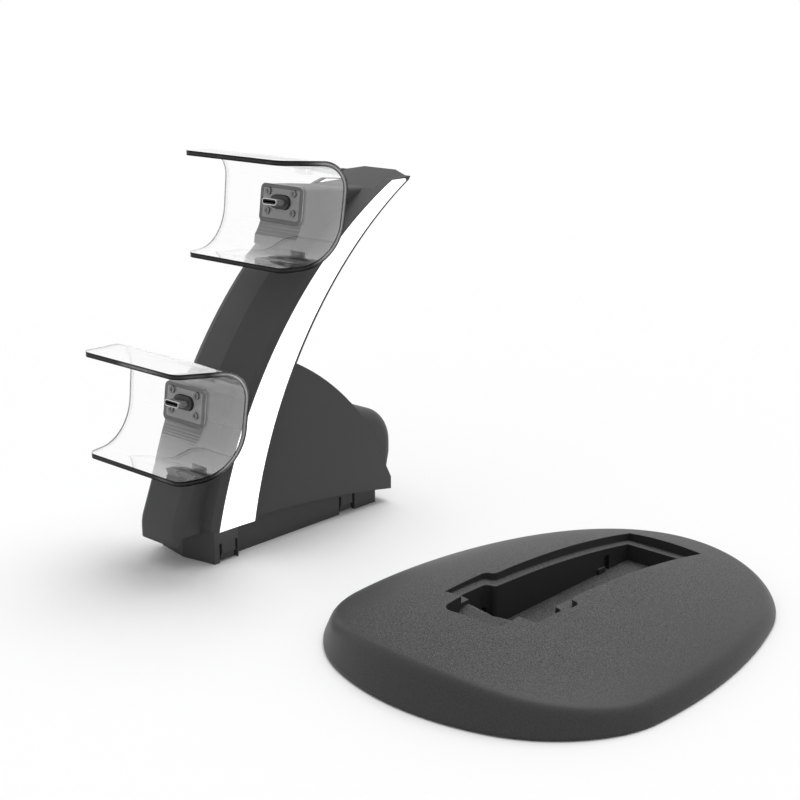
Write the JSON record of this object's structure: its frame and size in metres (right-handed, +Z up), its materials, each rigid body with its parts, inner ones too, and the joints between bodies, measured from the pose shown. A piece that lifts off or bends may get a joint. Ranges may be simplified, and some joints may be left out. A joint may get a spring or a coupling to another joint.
{
  "type": "controller charging dock",
  "caption": "Upright charging tower with lit side strips and clear cradles with plugs for hand controllers, lifted out of its low oval base.",
  "frame": {"origin": "bottom centre of the box round both assemblies, on the floor", "axes": "+Z up; the cradles open towards -Y; +X runs from the tower to the base beside it"},
  "size_m": [0.2517, 0.1758, 0.1561],
  "materials": {
    "tower_plastic": "satin moulded, dark grey",
    "base_plastic": "fine-grained, dark grey",
    "strip_white": "white light guide",
    "clear_sheet": "clear polished plastic sheet",
    "frame_dark": "matt dark seal",
    "collar_black": "matt black moulding",
    "plug_metal": "bright plated sheet metal",
    "screw_steel": "zinc-plated",
    "board_green": "solder-masked laminate",
    "chip_black": "moulded electronic parts",
    "foot_rubber": "soft matt rubber",
    "ballast_steel": "raw steel plate"
  },
  "bodies": {
    "root": {"tower_front_shell": "tower_plastic", "tower_rear_shell": "tower_plastic", "tower_foot": "tower_plastic", "light_strip_right": "strip_white", "light_strip_left": "strip_white", "led_board_right": "board_green", "led_board_left": "board_green", "foot_screws": "screw_steel", "main_board": "board_green", "main_board_screws": "screw_steel", "main_board_parts": "chip_black", "power_socket": "plug_metal", "power_socket_tongue": "collar_black", "base_shell": "base_plastic", "base_plate": "base_plastic", "base_ballast": "ballast_steel", "base_feet": "foot_rubber", "base_screws": "screw_steel", "lower_cradle": "clear_sheet", "lower_connector_frame": "frame_dark", "lower_connector_pad": "tower_plastic", "lower_cradle_screws": "screw_steel", "lower_plug_collar": "collar_black", "lower_plug_shell": "plug_metal", "lower_plug_core": "collar_black", "lower_connector_board": "board_green", "upper_cradle": "clear_sheet", "upper_connector_frame": "frame_dark", "upper_connector_pad": "tower_plastic", "upper_cradle_screws": "screw_steel", "upper_plug_collar": "collar_black", "upper_plug_shell": "plug_metal", "upper_plug_core": "collar_black", "upper_connector_board": "board_green"}
  },
  "joints": []
}
